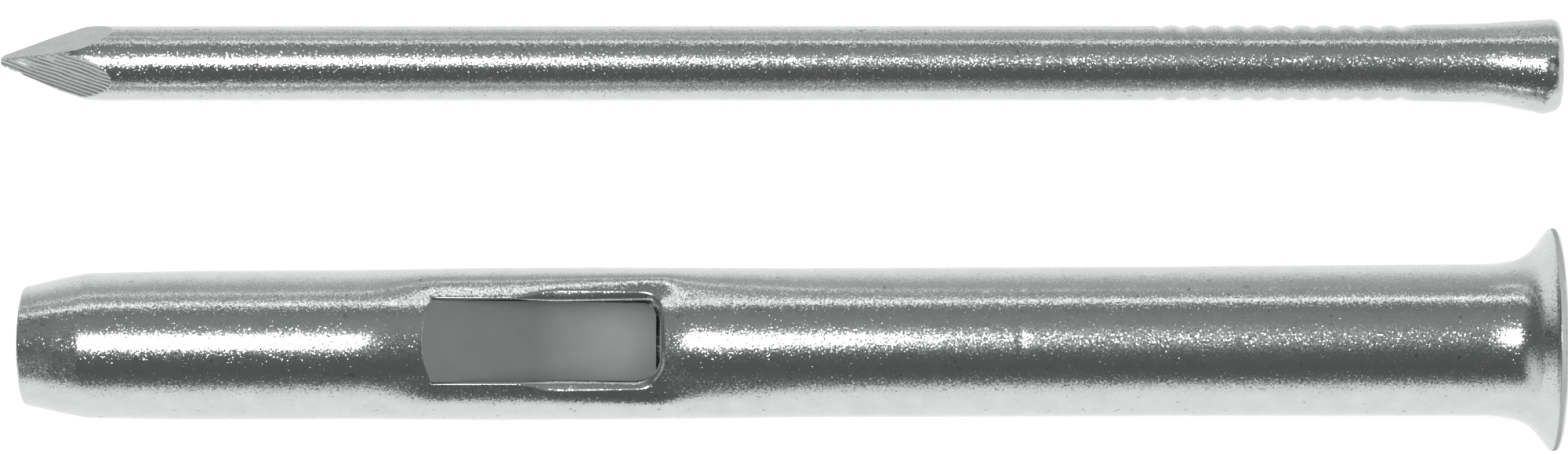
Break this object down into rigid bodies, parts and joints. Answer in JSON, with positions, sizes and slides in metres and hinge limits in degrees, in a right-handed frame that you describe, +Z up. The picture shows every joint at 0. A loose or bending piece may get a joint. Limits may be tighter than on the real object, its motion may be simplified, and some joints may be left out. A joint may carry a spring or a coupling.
{
  "type": "aerated concrete nail",
  "caption": "Two-piece steel fastener for soft aerated blocks: a diamond-point nail and a flanged sleeve whose lanced ramp turns the nail out through a side window.",
  "frame": {"origin": "under the middle of the pair, on the surface that it lies on", "axes": "+X along both pieces to the nail's head and the sleeve's flange, +Y from the sleeve to the nail, +Z up"},
  "size_m": [0.0844, 0.0232, 0.0119],
  "materials": {
    "nail_steel": "bright zinc plating, fine speckle",
    "sleeve_steel": "bright zinc plating, fine speckle"
  },
  "bodies": {
    "root": {"nail": "nail_steel", "sleeve": "sleeve_steel"}
  },
  "joints": []
}
